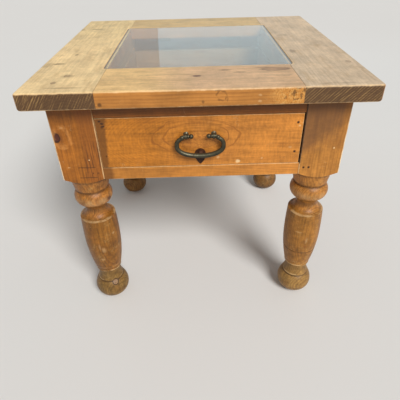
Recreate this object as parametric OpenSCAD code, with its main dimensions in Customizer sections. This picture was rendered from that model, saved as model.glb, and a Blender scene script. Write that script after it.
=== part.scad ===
// Square pine side table with a glass panel let into a framed top,
// four turned legs and one drawer with a forged iron bail handle.
// Millimetres. X is left to right, the front faces -Y, Z is up from the floor.

/* [Top] */
// Width of the top, side to side
top_w = 680; // [620:1:760]
// Depth of the top, front to back
top_d = 673; // [620:1:760]
// Height of the table, floor to top surface
table_h = 600; // [560:1:680]
// Thickness of the top boards
top_t = 34; // [30:0.5:42]
// Width of each side board
side_board_w = 147.5; // [137:0.5:149.5]
// Width of the front board
front_board_w = 149; // [130:1:170]
// Width of the back board
back_board_w = 133; // [115:1:160]
// Radius worn on the outer edges of the top
edge_r = 5; // [2:0.5:8]
// Radius of the top's corners seen from above
corner_r = 9; // [8.5:0.5:18]
// Ease cut along the top of each board joint
joint_ease = 0.4; // [0.2:0.1:1.2]
// Diameter of the dowels in the board joints
dowel_d = 10; // [6:1:12]
// Length of the dowels in the board joints
dowel_l = 60; // [40:2:80]

/* [Glass] */
// Thickness of the glass
glass_t = 6; // [4:0.5:8]
// Width of the ledge that the glass lies on
ledge_w = 8; // [6:0.5:12]
// Gap round the edge of the glass
glass_gap = 0.8; // [0.4:0.1:1.5]
// Depth of the glass below the top surface
glass_sink = 0.8; // [0.2:0.1:2]
// Corner radius of the recess for the glass
recess_r = 11; // [5:0.5:14]
// Ease round the rim of the recess
recess_ease = 1.2; // [0.4:0.1:2]

/* [Frame] */
// Side of the square leg stock
leg_size = 89; // [84:0.5:94]
// Overhang of the top past the legs at each side
side_overhang = 41.5; // [33:0.5:47]
// Overhang of the top past the front legs
front_overhang = 30; // [24:1:40]
// Overhang of the top past the back legs
back_overhang = 38; // [24:1:50]
// Height of the aprons and of the square leg blocks
apron_h = 170; // [160:1:190]
// Thickness of the aprons
apron_t = 22; // [18:0.5:26]
// How far aprons and rails lie behind the faces of the legs
setback = 1.5; // [0.5:0.1:3]
// Radius on the arrises of the legs, rails and aprons
arris_r = 2; // [0.8:0.1:3]
// Height of the rail over the drawer
top_rail_h = 29; // [24:1:34]
// Height of the rail under the drawer
low_rail_h = 28; // [24:1:34]
// Depth of both drawer rails, front to back
rail_depth = 60; // [50:1:70]
// Length of every tenon
tenon_l = 28; // [20:1:36]
// Thickness of the apron tenons
apron_tenon_t = 10; // [8:0.5:12]
// Shoulder above and below the apron tenons
apron_shoulder = 20; // [12:1:28]
// Thickness of the drawer rail tenons
rail_tenon_t = 14; // [10:0.5:16]
// Shoulder in front of and behind the drawer rail tenons
rail_shoulder = 10; // [8:1:14]
// Clearance of a tenon in its mortise, all round
tenon_gap = 0.15; // [0.05:0.05:0.3]

/* [Turned leg] */
// Rise of the shoulder from the middle of a face to the corner of the block
pommel_rise = 11; // [6:0.5:16]
// Drop of the turned collar's top below the aprons
collar_drop = 9; // [6:0.5:14]
// Height of the tapered collar under the block
collar_h = 28.5; // [22:0.5:34]
// Radius at the foot of the collar
collar_r = 39; // [36:0.5:42]
// Height of the plain fillet between the collar and the ring
collar_fillet_h = 6; // [4:0.5:8]
// Depth of the plain fillet in from the collar
collar_fillet_in = 3; // [2:0.5:4]
// Height of the big ring
ring_h = 38; // [32:0.5:42]
// Radius of the big ring
ring_r = 43.9; // [42:0.1:44]
// Radius of the ring's round section
ring_round = 24; // [22:0.5:28]
// Radius of the waist under the ring
waist_r = 24.3; // [20:0.1:28]
// Height of the hollow from the ring down to the waist
waist_top_h = 17; // [15:0.5:22]
// Height of the hollow from the waist down to the long body
waist_low_h = 22.5; // [18:0.5:26]
// Largest radius of the long body
belly_r = 44; // [42:0.1:44.4]
// Depth of the shoulder in from the largest radius
shoulder_in = 2.3; // [1:0.1:4]
// Height of the body's largest radius above the floor
belly_z = 209.5; // [195:0.5:220]
// Radius at the bottom of the body
body_low_r = 32.6; // [31:0.1:35]
// Height of the body's bottom above the floor
body_low_z = 108; // [104:0.5:114]
// Height of the bead under the body
bead_h = 8.4; // [6:0.1:10]
// Radius of the bead under the body
bead_r = 32.4; // [31:0.1:34]
// Radius of the neck over the foot
neck_r = 27.6; // [25:0.1:29]
// Radius of the flared edge over the foot
flare_r = 33; // [31:0.1:34.5]
// Height of the flared edge above the floor
flare_z = 69; // [66:0.5:72]
// Radius of the ball foot
foot_r = 44; // [42:0.1:44.4]
// Height of the ball foot's widest line above the floor
foot_z = 35.6; // [33:0.1:38]
// Radius of the flat under the ball foot
foot_flat_r = 14.4; // [8:0.1:20]
// Small step left between one turned shape and the next
quirk = 0.3; // [0.2:0.1:0.6]
// Height of the line scribed round the front right leg
scribe_z = 158; // [140:1:180]

/* [Drawer] */
// Thickness of the drawer front
front_t = 20; // [18:0.5:24]
// Thickness of the lap left in front of the drawer sides
front_lap = 8; // [6:0.5:10]
// Gap over and under the drawer front
drawer_gap = 1; // [0.6:0.1:2]
// Gap at the left end of the drawer front
drawer_gap_left = 0.8; // [0.5:0.1:2]
// Gap at the right end of the drawer front
drawer_gap_right = 2.4; // [0.5:0.1:3]
// Thickness of the drawer sides and back
drawer_side_t = 12; // [10:0.5:14]
// Gap between the drawer sides and the back apron
drawer_back_gap = 32; // [5:1:80]
// Gap over the drawer sides
drawer_top_gap = 3; // [1.5:0.1:6]
// Gap under the drawer sides
slide_gap = 0.3; // [0.2:0.05:0.5]
// Thickness of the drawer bottom
bottom_t = 6; // [4:0.5:8]
// Height of the drawer bottom over the lower edge of the sides
bottom_up = 10; // [8:0.5:14]
// Depth of the grooves in the drawer boards
groove_d = 5; // [3:0.5:6]
// Distance of the drawer back from the ends of the sides
back_in = 8; // [6:1:14]
// How much lower the drawer back is than the sides
back_low = 9; // [4:1:20]
// Thickness of the strips that guide the drawer
guide_t = 6.5; // [5:0.5:8]
// Height of the strips that guide the drawer
guide_h = 18; // [12:1:24]
// Gap between a drawer side and its guide
guide_gap = 0.8; // [0.4:0.1:1.5]
// Width of the drawer runners
runner_w = 30; // [26:1:36]
// Height of the drawer runners
runner_h = 22; // [16:1:24]
// Width of the kickers over the drawer sides
kicker_w = 16; // [12:1:17]
// Length of the tongues at the ends of the runners
tongue_l = 8; // [5:0.5:12]
// Length of each drawer stop, side to side
stop_w = 40; // [25:1:60]
// Depth of each drawer stop, front to back
stop_d = 18; // [12:1:24]
// Height of each drawer stop
stop_h = 6; // [4:0.5:7]
// Distance of each drawer stop from the middle
stop_x = 120; // [80:1:150]

/* [Handle] */
// Drop of the bail's pivot below the top of the drawer front
pivot_drop = 38.5; // [33:0.5:42]
// Distance between the two eye posts
eye_span = 56.4; // [50:0.2:66]
// Distance of the bail's pivot in front of the drawer front
pivot_out = 11; // [10:0.5:14]
// Half width of the bail, on the middle of its rod
bail_half_w = 47.5; // [44:0.5:60]
// Drop of the bail below its pivot, on the middle of its rod
bail_drop = 44; // [42:0.5:48]
// Radius of the rod near the pivots
rod_end_r = 4.1; // [3:0.1:4.4]
// Radius of the rod at the bottom
rod_mid_r = 5.2; // [4.4:0.1:5.6]
// Radius of the bail's pivot pins
pin_r = 2.6; // [2:0.1:3]
// Radial clearance of the pins in the eyes
pin_gap = 0.08; // [0.03:0.01:0.1]
// Outer radius of the eyes
eye_r = 5.7; // [5:0.1:6.8]
// Thickness of the eyes
eye_t = 4; // [3:0.1:5]
// Side play of the bail in its eyes
eye_play = 0.3; // [0.2:0.05:0.5]
// Radius of the knob at each end of the bail
knob_r = 4.9; // [4.5:0.1:5.4]
// Radius of the bead beside each eye
bead_end_r = 4.5; // [4:0.1:4.9]
// Radius of the eye posts' shanks
shank_r = 3; // [2.5:0.1:3.4]
// Radius of the striking plate's round part
plate_r = 11.5; // [10:0.5:13]
// Drop of the striking plate's point below its middle
plate_tip = 24; // [20:0.5:26]
// Thickness of the striking plate
plate_t = 2; // [1.5:0.1:2.5]
// Radius of the stud on the striking plate
stud_r = 6; // [5:0.1:7]

/* [Hidden] */
$fn = 64;
arc_fn = 720;
eps = 0.01;
fit_gap = 0.05;

// Places worked out from the sizes above
under_z = table_h - top_t;
frame_z = under_z - apron_h;
well_x = top_w/2 - side_board_w;
well_y0 = -top_d/2 + front_board_w;
well_y1 = top_d/2 - back_board_w;
ledge_z = table_h - glass_sink - glass_t;
post_x1 = top_w/2 - side_overhang;
post_x0 = post_x1 - leg_size;
leg_x = post_x1 - leg_size/2;
front_y0 = -top_d/2 + front_overhang;
front_y1 = front_y0 + leg_size;
leg_front_y = front_y0 + leg_size/2;
back_y1 = top_d/2 - back_overhang;
back_y0 = back_y1 - leg_size;
leg_back_y = back_y1 - leg_size/2;
rail_y0 = front_y0 + setback;
rail_y1 = rail_y0 + rail_depth;
low_z = frame_z + low_rail_h;
high_z = under_z - top_rail_h;
apron_x1 = post_x1 - setback;
apron_x0 = apron_x1 - apron_t;
apron_y1 = back_y1 - setback;
apron_y0 = apron_y1 - apron_t;

drawer_x0 = -post_x0 + drawer_gap_left;
drawer_x1 = post_x0 - drawer_gap_right;
drawer_mid_x = (drawer_x0 + drawer_x1)/2;
drawer_z0 = low_z + drawer_gap;
drawer_z1 = high_z - drawer_gap;
side_x1 = post_x0 - guide_t - guide_gap;
side_x0 = side_x1 - drawer_side_t;
side_y0 = rail_y0 + front_lap;
side_y1 = apron_y0 - drawer_back_gap;
side_z0 = low_z + slide_gap;
side_z1 = high_z - drawer_top_gap;
panel_z0 = side_z0 + bottom_up;
panel_z1 = panel_z0 + bottom_t;
back_board_y1 = side_y1 - back_in;
back_board_y0 = back_board_y1 - drawer_side_t;

pivot_y = rail_y0 - pivot_out;
pivot_z = drawer_z1 - pivot_drop;
eye_x = eye_span/2;
strike_z = pivot_z - bail_drop;

// Brads, screws and other small fixings
brad_r = 1.2;
brad_set = 0.6;
brad_l = 36;
drawer_brad_rise = 27;
drawer_brad_drop = 19;
tenon_brad_x = [10.5, 21.5];
tenon_brad_up = 3;
screw_r = 2;
screw_head_r = 4;
screw_head_h = 2.6;
screw_l = 46;
top_screw_y = 140;
runner_screw_in = 16;
tongue_shoulder = 3;
block_side = 25;
block_l = 60;
block_y = 105;
block_x = 110;
dowel_in = 45;
groove_gap = 0.2;
nut_af = 10;
nut_h = 5;
washer_r = 7;
washer_t = 1.5;
shank_out = 1.5;
eye_foot_h = 3;
stud_shank_r = 2;
stud_shank_l = 14;
stud_gap = 0.3;
pin_collar_t = 2.4;
rod_knuckle_r = bead_end_r + 0.5;
rod_clear = 0.8;
bead_flat = 0.45;
knob_seat = 0.85;
knuckle_seat = 0.7;

// Colours of the finishes
pine_top = "#d8bd92";
pine_frame = "#c07c3c";
pine_dark = "#a8713f";
pine_raw = "#c9a573";
iron = "#3d3a36";
steel = "#8c8c88";
clear = "#bcd6cf80";

// A rectangle from corner a to corner b, with rounded corners
module round_rect(a, b, r) {
    translate([a[0] + r, a[1]]) square([b[0] - a[0] - 2*r, b[1] - a[1]]);
    translate([a[0], a[1] + r]) square([b[0] - a[0], b[1] - a[1] - 2*r]);
    for (x = [a[0] + r, b[0] - r], y = [a[1] + r, b[1] - r])
        translate([x, y]) circle(r = r);
}

// A plain box from corner a to corner b
module box(a, b) {
    translate(a) cube(b - a);
}

// A board from corner a to corner b with every arris eased, and its
// vertical corners rounded by their own radius
module eased_board(a, b, r, plan_r) {
    intersection() {
        translate([0, 0, a[2]]) linear_extrude(b[2] - a[2])
            round_rect([a[0], a[1]], [b[0], b[1]], plan_r);
        translate([0, b[1], 0]) rotate([90, 0, 0]) linear_extrude(b[1] - a[1])
            round_rect([a[0], a[2]], [b[0], b[2]], r);
        translate([a[0], 0, 0]) rotate([90, 0, 90]) linear_extrude(b[0] - a[0])
            round_rect([a[1], a[2]], [b[1], b[2]], r);
    }
}

// A thick slab from corner a to corner b, its outer arrises rounded by r
// all the way round corners of their own radius
module rounded_slab(a, b, r, plan_r) {
    t = b[2] - a[2];
    translate([a[0] + plan_r, 0, 0]) rotate([90, 0, 90])
        linear_extrude(b[0] - a[0] - 2*plan_r)
            round_rect([a[1], a[2]], [b[1], b[2]], r);
    translate([0, b[1] - plan_r, 0]) rotate([90, 0, 0])
        linear_extrude(b[1] - a[1] - 2*plan_r)
            round_rect([a[0], a[2]], [b[0], b[2]], r);
    corners = [[b[0] - plan_r, b[1] - plan_r, 0], [a[0] + plan_r, b[1] - plan_r, 90],
        [a[0] + plan_r, a[1] + plan_r, 180], [b[0] - plan_r, a[1] + plan_r, 270]];
    for (c = corners)
        translate([c[0], c[1], a[2]]) rotate([0, 0, c[2]])
            rotate_extrude(angle = 90) intersection() {
                round_rect([-plan_r, 0], [plan_r, t], r);
                square([plan_r, t]);
            }
}

// The child once on the right and once mirrored to the left
module both_sides() {
    children();
    mirror([1, 0, 0]) children();
}

// The framed top

// All four boards as one slab, before it is divided
module top_slab() {
    rounded_slab([-top_w/2, -top_d/2, under_z], [top_w/2, top_d/2, table_h], edge_r, corner_r);
}

// The well under the glass with the routed ledge, and the eased rim
module glass_recess() {
    rim = ledge_w;
    x1 = well_x + rim;
    y0 = well_y0 - rim;
    y1 = well_y1 + rim;
    box([-well_x, well_y0, under_z - 1], [well_x, well_y1, table_h + 1]);
    translate([0, 0, ledge_z]) linear_extrude(table_h - ledge_z + 1)
        round_rect([-x1, y0], [x1, y1], recess_r);
    for (side = [0, 1]) mirror([side, 0, 0]) {
        translate([x1, y1 - recess_r, table_h]) rotate([90, 0, 0])
            linear_extrude(y1 - y0 - 2*recess_r) rim_section();
        for (y = [y0 + recess_r, y1 - recess_r])
            translate([x1 - recess_r, y, table_h - recess_ease])
                cylinder(r1 = recess_r, r2 = recess_r + recess_ease, h = recess_ease);
    }
    for (y = [y0, y1]) translate([0, y, 0]) mirror([0, y == y0 ? 1 : 0, 0])
        translate([recess_r - x1, 0, table_h]) rotate([90, 0, 90])
            linear_extrude(2*(x1 - recess_r)) rim_section();
}

// Section of the eased rim, with the recess wall on its left side
module rim_section() {
    polygon([[-1, 0], [-1, -recess_ease], [0, -recess_ease], [recess_ease, 0]]);
}

// The V cut along one board joint on the right side
module joint_ease_cut() {
    translate([well_x, top_d/2, table_h]) rotate([90, 0, 0]) linear_extrude(top_d)
        polygon([[-joint_ease, 0], [0, -joint_ease], [joint_ease, 0]]);
}

// Where the dowels lie, two in each of the four joints
dowel_ys = [
    -top_d/2 + dowel_in, well_y0 - dowel_in,
    well_y1 + dowel_in, top_d/2 - dowel_in
];
dowel_z = under_z + top_t/2;

module dowels(r, l) {
    for (x = [-well_x, well_x], y = dowel_ys)
        translate([x - l/2, y, dowel_z]) rotate([0, 90, 0]) cylinder(r = r, h = l);
}

// One board of the top, cut out of the slab by the box given
module top_board(a, b) {
    difference() {
        intersection() {
            top_slab();
            box([a[0], a[1], under_z - 1], [b[0], b[1], table_h + 1]);
        }
        glass_recess();
        both_sides() joint_ease_cut();
        dowels(dowel_d/2 + fit_gap, dowel_l + 1);
        top_screws(screw_r + fit_gap, 0);
    }
}

module top_right_board() {
    color(pine_top) top_board([well_x, -top_d], [top_w, top_d]);
}

module top_left_board() {
    color(pine_top) top_board([-top_w, -top_d], [-well_x, top_d]);
}

module top_front_board() {
    color(pine_top) top_board([-well_x, -top_d], [well_x, well_y0]);
}

module top_back_board() {
    color(pine_top) top_board([-well_x, well_y1], [well_x, top_d]);
}

module top_dowels() {
    color(pine_raw) dowels(dowel_d/2, dowel_l);
}

module glass_panel() {
    inset = ledge_w - glass_gap;
    color(clear) translate([0, 0, ledge_z]) linear_extrude(glass_t)
        round_rect([-well_x - inset, well_y0 - inset], [well_x + inset, well_y1 + inset],
            recess_r - glass_gap);
}

// The turned legs

shoulder_z = frame_z - collar_drop;
collar_z = shoulder_z - collar_h;
ring_z1 = collar_z - collar_fillet_h;
ring_z0 = ring_z1 - ring_h;
ring_mid = (ring_z0 + ring_z1)/2;
waist_z = ring_z0 - waist_top_h;
shoulder_r = belly_r - shoulder_in;
body_z1 = waist_z - waist_low_h;
bead_z0 = body_low_z - bead_h;
neck_drop = 3.4;
bead_round = bead_h*0.62;
groove_r = 1.4;
groove_out = 0.4;
scribe_cut = 0.9;

// Radius of an arc with this half chord and sagitta
function arc_radius(chord, sag) = (chord*chord + sag*sag)/(2*sag);

// A plain band of the turning
module band(z0, z1, r) {
    translate([0, z0]) square([r, z1 - z0]);
}

// A band that swells to its largest radius at height zm
module swelling(z0, z1, r, zm, arc) {
    intersection() {
        band(z0, z1, r + 1);
        translate([r - arc, zm]) circle(r = arc, $fn = arc_fn);
    }
    if (r > arc) band(z0, z1, r - arc);
}

// A band that is hollowed to its smallest radius at height zm
module hollow(z0, z1, outer, r, zm, arc) {
    difference() {
        band(z0, z1, outer);
        translate([r + arc, zm]) circle(r = arc, $fn = arc_fn);
    }
}

// Half section of the turned part, radius along X and height along Y
module turning_section(scribed) {
    ring_end_r = ring_r - ring_round + sqrt(ring_round*ring_round - ring_h*ring_h/4);
    waist_top_r = ring_end_r - quirk;
    waist_top_arc = arc_radius(waist_top_h, waist_top_r - waist_r);
    waist_low_arc = arc_radius(waist_low_h, shoulder_r - waist_r);
    belly_top_arc = arc_radius(body_z1 + quirk - belly_z, belly_r - shoulder_r);
    belly_low_arc = arc_radius(belly_z - body_low_z, belly_r - body_low_r);
    neck_z = bead_z0 - neck_drop;
    neck_low_r = flare_r - quirk;
    neck_arc = arc_radius(neck_z - flare_z, neck_low_r - neck_r);
    foot_low_arc = arc_radius(foot_z, foot_r - foot_flat_r);
    foot_top_z = foot_z + sqrt(foot_r*foot_r - (flare_r - 1)*(flare_r - 1));
    difference() {
        union() {
            polygon([[0, collar_z], [collar_r, collar_z], [leg_size/2, shoulder_z],
                [0, shoulder_z]]);
            band(ring_z1 - eps, collar_z + eps, collar_r - collar_fillet_in);
            swelling(ring_z0, ring_z1, ring_r, ring_mid, ring_round);
            hollow(waist_z - eps, ring_z0 + eps, waist_top_r, waist_r, waist_z, waist_top_arc);
            hollow(body_z1, waist_z, shoulder_r, waist_r, waist_z, waist_low_arc);
            swelling(belly_z - eps, body_z1 + quirk, belly_r, belly_z, belly_top_arc);
            swelling(body_low_z, belly_z, belly_r, belly_z, belly_low_arc);
            swelling(bead_z0, body_low_z + eps, bead_r, (bead_z0 + body_low_z)/2, bead_round);
            hollow(flare_z - eps, bead_z0 + eps, neck_low_r, neck_r, neck_z, neck_arc);
            band(foot_top_z - 1, flare_z, flare_r);
            swelling(foot_z - eps, foot_top_z, foot_r, foot_z, foot_r);
            swelling(0, foot_z, foot_r, foot_z, foot_low_arc);
        }
        translate([flare_r + groove_out, foot_top_z]) circle(r = groove_r);
        if (scribed) translate([scribe_r(belly_low_arc), scribe_z]) circle(r = scribe_cut);
    }
}

// Radius of the body at the scribed line
function scribe_r(arc) = belly_r - arc + sqrt(arc*arc - pow(belly_z - scribe_z, 2));

// One leg with its axis on Z, the square block cut by a cone at its foot
module leg_blank(scribed = false) {
    half = leg_size/2;
    corner = half*sqrt(2);
    intersection() {
        translate([0, 0, shoulder_z - 1]) linear_extrude(under_z - shoulder_z + 1)
            round_rect([-half, -half], [half, half], arris_r);
        rotate_extrude($fn = 128) polygon([[0, shoulder_z], [half, shoulder_z],
            [corner, shoulder_z + pommel_rise], [corner + 1, under_z + 1], [0, under_z + 1]]);
    }
    rotate_extrude($fn = 128) turning_section(scribed);
}

// The mortises, tenons and fixings that enter a leg, at their real places
module leg_cuts() {
    both_sides() {
        apron_side_tenons(tenon_gap);
        apron_back_tenon(tenon_gap);
        rail_tenon(low_z - low_rail_h/2, tenon_gap);
        rail_tenon(high_z + top_rail_h/2, tenon_gap);
        runner_screw_pair(screw_r + fit_gap, 0);
    }
    rail_brad_set(brad_r + fit_gap, -1);
}

module leg(x, y, scribed = false) {
    color(pine_frame) difference() {
        translate([x, y, 0]) leg_blank(scribed);
        leg_cuts();
    }
}

module leg_front_left() { leg(-leg_x, leg_front_y); }
module leg_front_right() { leg(leg_x, leg_front_y, true); }
module leg_back_left() { leg(-leg_x, leg_back_y); }
module leg_back_right() { leg(leg_x, leg_back_y); }

// Aprons and drawer rails

// Both tenons of the right apron, grown by g to cut their mortises
module apron_side_tenons(g = 0) {
    xm = (apron_x0 + apron_x1)/2;
    half = apron_tenon_t/2 + g;
    box([xm - half, front_y1 - tenon_l - g, frame_z + apron_shoulder - g],
        [xm + half, back_y0 + tenon_l + g, under_z - apron_shoulder + g]);
}

// The right tenon of the back apron
module apron_back_tenon(g = 0) {
    ym = (apron_y0 + apron_y1)/2;
    half = apron_tenon_t/2 + g;
    box([post_x0 - 1, ym - half, frame_z + apron_shoulder - g],
        [post_x0 + tenon_l + g, ym + half, under_z - apron_shoulder + g]);
}

// The right tenon of a drawer rail at middle height zm
module rail_tenon(zm, g = 0) {
    half = rail_tenon_t/2 + g;
    box([post_x0 - 1, rail_y0 + rail_shoulder - g, zm - half],
        [post_x0 + tenon_l + g, rail_y1 - rail_shoulder + g, zm + half]);
}

module apron_right() {
    color(pine_frame) union() {
        eased_board([apron_x0, front_y1, frame_z], [apron_x1, back_y0, under_z],
            arris_r/2, arris_r/2);
        apron_side_tenons();
    }
}

module apron_left() {
    mirror([1, 0, 0]) apron_right();
}

module apron_back() {
    color(pine_frame) difference() {
        union() {
            eased_board([-post_x0, apron_y0, frame_z], [post_x0, apron_y1, under_z],
                arris_r/2, arris_r/2);
            both_sides() apron_back_tenon();
        }
        both_sides() runner_tongues(tenon_gap);
    }
}

module drawer_rail(z0, z1) {
    color(pine_frame) difference() {
        union() {
            eased_board([-post_x0, rail_y0, z0], [post_x0, rail_y1, z1], arris_r/2, arris_r/2);
            both_sides() rail_tenon((z0 + z1)/2);
        }
        both_sides() runner_tongues(tenon_gap);
        rail_brad_set(brad_r + fit_gap, -1);
    }
}

module drawer_rail_top() { drawer_rail(high_z, under_z); }
module drawer_rail_low() { drawer_rail(frame_z, low_z); }

// Brads through the front of each leg into the lower rail's tenons
module rail_brad_set(r, sunk) {
    z = (frame_z + low_z)/2 + tenon_brad_up;
    for (side = [-1, 1], dx = tenon_brad_x)
        translate([side*(post_x0 + dx), front_y0 + sunk, z])
            rotate([-90, 0, 0]) cylinder(r = r, h = brad_l - sunk, $fn = 24);
}

module rail_brads() {
    color(steel) rail_brad_set(brad_r, brad_set);
}

// What carries and guides the drawer

// The tongues at both ends of the right runner
module runner_tongues(g = 0) {
    zm = low_z - runner_h/2;
    half = runner_h/4 + g;
    in = tongue_shoulder - g;
    box([post_x0 - runner_w + in, rail_y1 - tongue_l - g, zm - half],
        [post_x0 - in, apron_y0 + tongue_l + g, zm + half]);
}

// A countersunk screw along +Z with the top of its head at the origin
module screw(r, head_r, l) {
    cylinder(r = r, h = l, $fn = 24);
    if (head_r > 0) cylinder(r1 = head_r, r2 = r, h = screw_head_h, $fn = 32);
}

// Screws from inside through the right runner into the legs
module runner_screw_pair(r, head_r) {
    for (y = [(rail_y1 + front_y1)/2, back_y0 + runner_screw_in])
        translate([post_x0 - runner_w, y, low_z - runner_h/2]) rotate([0, 90, 0])
            screw(r, head_r, screw_l);
}

// Screws up through the kickers into the side boards
module top_screws(r = screw_r, head_r = screw_head_r) {
    color(steel) for (x = [-1, 1], y = [-top_screw_y, top_screw_y])
        translate([x*(post_x0 - kicker_w/2), y, high_z]) screw(r, head_r, screw_l);
}

module runner_screws() {
    color(steel) both_sides() runner_screw_pair(screw_r, screw_head_r);
}

module runner_right() {
    color(pine_raw) difference() {
        union() {
            box([post_x0 - runner_w, rail_y1, low_z - runner_h], [post_x0, apron_y0, low_z]);
            runner_tongues();
        }
        runner_screw_pair(screw_r + fit_gap, screw_head_r + fit_gap);
    }
}

module runner_left() {
    mirror([1, 0, 0]) runner_right();
}

module kicker_right() {
    color(pine_raw) difference() {
        box([post_x0 - kicker_w, rail_y1, high_z], [post_x0, apron_y0, under_z]);
        top_screws(screw_r + fit_gap, screw_head_r + fit_gap);
    }
}

module kicker_left() {
    mirror([1, 0, 0]) kicker_right();
}

module guide_right() {
    color(pine_raw)
        box([post_x0 - guide_t, rail_y1, low_z], [post_x0, apron_y0, low_z + guide_h]);
}

module guide_left() {
    mirror([1, 0, 0]) guide_right();
}

// Blocks on the lower rail that meet the back of the drawer front
module drawer_stops() {
    y0 = rail_y0 + front_t + slide_gap;
    color(pine_raw) both_sides()
        box([stop_x - stop_w/2, y0, low_z], [stop_x + stop_w/2, y0 + stop_d, low_z + stop_h]);
}

// Triangular blocks glued between the aprons and the top
module glue_block() {
    rotate([90, 0, 0]) linear_extrude(block_l, center = true)
        polygon([[0, 0], [-block_side, 0], [0, -block_side]]);
}

module glue_blocks() {
    color(pine_raw) {
        both_sides() for (y = [-block_y, block_y])
            translate([apron_x0, y, under_z]) glue_block();
        for (x = [-block_x, block_x])
            translate([x, apron_y0, under_z]) rotate([0, 0, 90]) glue_block();
    }
}

// The drawer

// The bottom panel, grown by g where the grooves take it
module drawer_panel(g = 0) {
    in = groove_d - groove_gap;
    box([-side_x0 - in - g, rail_y0 + front_t - in - g, panel_z0 - g],
        [side_x0 + in + g, back_board_y1 + g, panel_z1 + g]);
}

// One screw hole or shank along Y for each eye post
module eye_shanks(r, y0, y1) {
    for (side = [-1, 1])
        translate([drawer_mid_x + side*eye_x, y0, pivot_z]) rotate([-90, 0, 0])
            cylinder(r = r, h = y1 - y0, $fn = 32);
}

// Brads through the lap of the drawer front into the ends of the sides
module drawer_brad_set(r, sunk) {
    for (side = [-1, 1], z = [drawer_z0 + drawer_brad_rise, drawer_z1 - drawer_brad_drop])
        translate([side*(side_x0 + side_x1)/2, rail_y0 + sunk, z])
            rotate([-90, 0, 0]) cylinder(r = r, h = brad_l - sunk, $fn = 24);
}

module drawer_front() {
    color(pine_frame) difference() {
        eased_board([drawer_x0, rail_y0, drawer_z0],
            [drawer_x1, rail_y0 + front_t, drawer_z1], arris_r/2, arris_r/2);
        for (side = [0, 1]) mirror([side, 0, 0])
            box([side_x0, side_y0, low_z], [post_x0, rail_y0 + front_t + 1, high_z]);
        drawer_panel(groove_gap);
        drawer_brad_set(brad_r + fit_gap, -1);
        eye_shanks(shank_r + fit_gap, rail_y0 - 1, rail_y0 + front_t + 1);
        translate([drawer_mid_x, rail_y0 - 1, strike_z]) rotate([-90, 0, 0])
            cylinder(r = stud_shank_r + fit_gap, h = stud_shank_l + 1, $fn = 32);
    }
}

module drawer_side_right() {
    color(pine_raw) difference() {
        box([side_x0, side_y0, side_z0], [side_x1, side_y1, side_z1]);
        drawer_panel(groove_gap);
        drawer_brad_set(brad_r + fit_gap, -1);
        box([side_x0 - 1, back_board_y0, panel_z1],
            [side_x0 + groove_d, back_board_y1, side_z1 + 1]);
    }
}

module drawer_side_left() {
    mirror([1, 0, 0]) drawer_side_right();
}

module drawer_back() {
    in = groove_d - groove_gap;
    color(pine_raw) box([-side_x0 - in, back_board_y0 + groove_gap/2, panel_z1 + groove_gap],
        [side_x0 + in, back_board_y1 - groove_gap/2, side_z1 - back_low]);
}

module drawer_bottom() {
    color(pine_raw) drawer_panel();
}

module drawer_brads() {
    color(steel) drawer_brad_set(brad_r, brad_set);
}

// The forged handle

// A round pin from x0 to x1 on the pivot's line
module along_x(x0, x1, r) {
    translate([x0, 0, 0]) rotate([0, 90, 0]) cylinder(r = r, h = x1 - x0, $fn = 48);
}

// A ball turned about the pivot's line, its middle at x and z
module ball_x(x, z, r) {
    translate([x, 0, z]) rotate([0, 90, 0]) sphere(r = r, $fn = 48);
}

// One eye post on the pivot line at x, with its shank through the front
module eye_post(x) {
    shank_end = rail_y0 + front_t + washer_t + nut_h + shank_out;
    color(iron) difference() {
        union() {
            translate([x, pivot_y, pivot_z]) along_x(-eye_t/2, eye_t/2, eye_r);
            translate([x, pivot_y, pivot_z]) rotate([-90, 0, 0])
                cylinder(r = eye_t/2 - 0.1, h = shank_end - pivot_y, $fn = 32);
            translate([x, rail_y0 - eye_foot_h, pivot_z]) rotate([-90, 0, 0])
                cylinder(r1 = eye_t/2, r2 = eye_r, h = eye_foot_h);
            translate([x, rail_y0, pivot_z]) rotate([-90, 0, 0])
                cylinder(r = shank_r, h = shank_end - rail_y0, $fn = 32);
        }
        translate([x, pivot_y, pivot_z]) along_x(-eye_t, eye_t, pin_r + pin_gap);
    }
}

module eye_post_left() { eye_post(drawer_mid_x - eye_x); }
module eye_post_right() { eye_post(drawer_mid_x + eye_x); }

module eye_washers() {
    y0 = rail_y0 + front_t;
    color(steel) difference() {
        eye_shanks(washer_r, y0, y0 + washer_t);
        eye_shanks(shank_r + fit_gap, y0 - 1, y0 + washer_t + 1);
    }
}

module eye_nuts() {
    y0 = rail_y0 + front_t + washer_t;
    color(steel) difference() {
        for (side = [-1, 1])
            translate([drawer_mid_x + side*eye_x, y0, pivot_z]) rotate([-90, 0, 0])
                cylinder(r = nut_af/sqrt(3), h = nut_h, $fn = 6);
        eye_shanks(shank_r + fit_gap, y0 - 1, y0 + nut_h + 1);
    }
}

// A round plate drawn out to a point at the bottom
module striking_plate() {
    lobe = arc_radius(plate_tip, plate_r);
    color(iron) translate([drawer_mid_x, rail_y0, strike_z]) rotate([90, 0, 0])
        linear_extrude(plate_t) difference() {
            union() {
                circle(r = plate_r);
                intersection() {
                    translate([-plate_r, -plate_tip]) square([2*plate_r, plate_tip]);
                    translate([plate_r - lobe, 0]) circle(r = lobe, $fn = arc_fn);
                    translate([lobe - plate_r, 0]) circle(r = lobe, $fn = arc_fn);
                }
            }
            circle(r = stud_shank_r + fit_gap);
        }
}

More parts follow.
